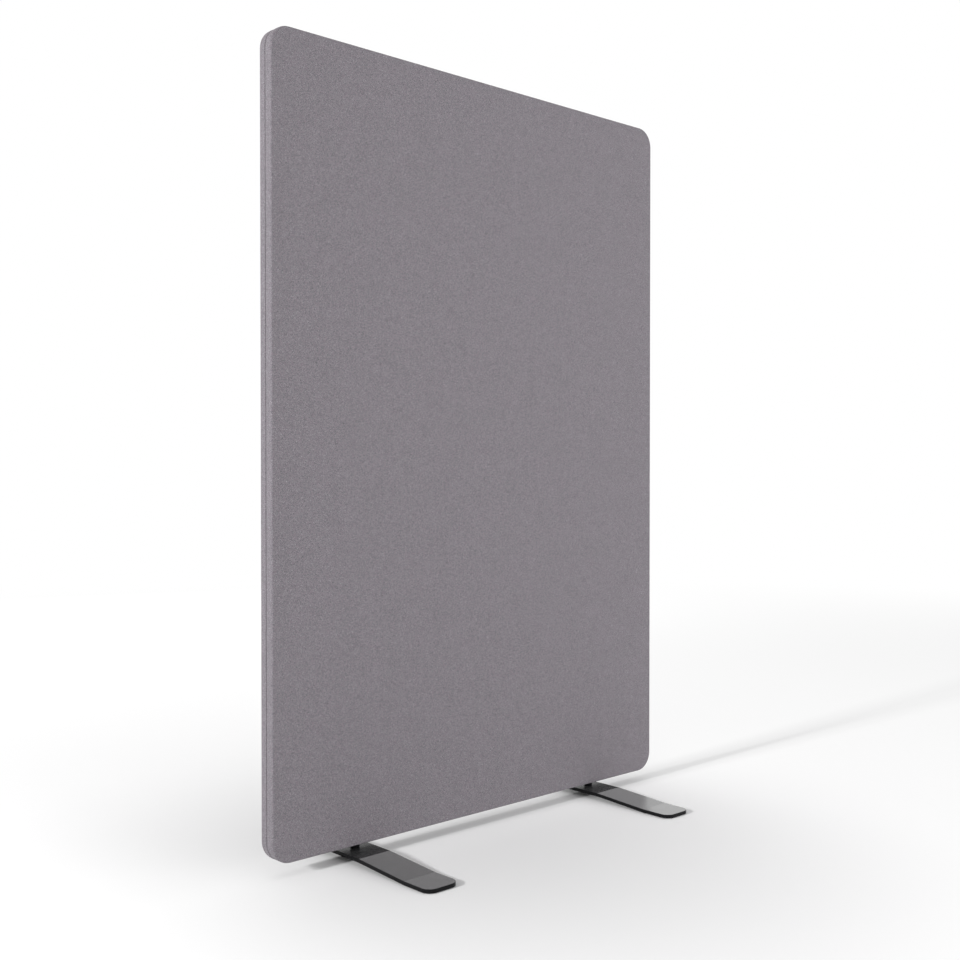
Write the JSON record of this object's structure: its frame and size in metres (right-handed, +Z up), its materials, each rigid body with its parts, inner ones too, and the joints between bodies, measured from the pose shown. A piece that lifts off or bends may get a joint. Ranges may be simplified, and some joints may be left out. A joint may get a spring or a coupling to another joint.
{
  "type": "acoustic divider screen",
  "caption": "Free-standing fabric-covered acoustic panel with rounded corners, held just above the floor by round posts on low bent steel feet.",
  "frame": {"origin": "on the floor, under the middle of the panel", "axes": "+X along the panel's width to the right as seen from the front, +Y to the back, +Z up"},
  "size_m": [1, 0.49, 1.45],
  "materials": {
    "timber": "planed softwood",
    "dowel_wood": "fluted hardwood",
    "core_fibre": "bonded polyester fibre",
    "felt_board": "pressed felt",
    "cover_fabric": "woven melange",
    "spline_plastic": "matte",
    "black_steel": "satin black powder coat",
    "zinc_steel": "zinc plated",
    "pad_felt": "dense rubber"
  },
  "bodies": {
    "root": {"left_stile": "timber", "right_stile": "timber", "top_rail": "timber", "middle_rail": "timber", "bottom_rail": "timber", "frame_dowels": "dowel_wood", "upper_core": "core_fibre", "lower_core": "core_fibre", "front_board": "felt_board", "rear_board": "felt_board", "front_cover": "cover_fabric", "rear_cover": "cover_fabric", "edge_spline": "spline_plastic", "bottom_spline": "spline_plastic", "left_insert": "zinc_steel", "left_post": "black_steel", "left_foot": "black_steel", "left_washer": "zinc_steel", "left_bolt": "zinc_steel", "left_front_pad": "pad_felt", "left_rear_pad": "pad_felt", "right_insert": "zinc_steel", "right_post": "black_steel", "right_foot": "black_steel", "right_washer": "zinc_steel", "right_bolt": "zinc_steel", "right_front_pad": "pad_felt", "right_rear_pad": "pad_felt"}
  },
  "joints": []
}
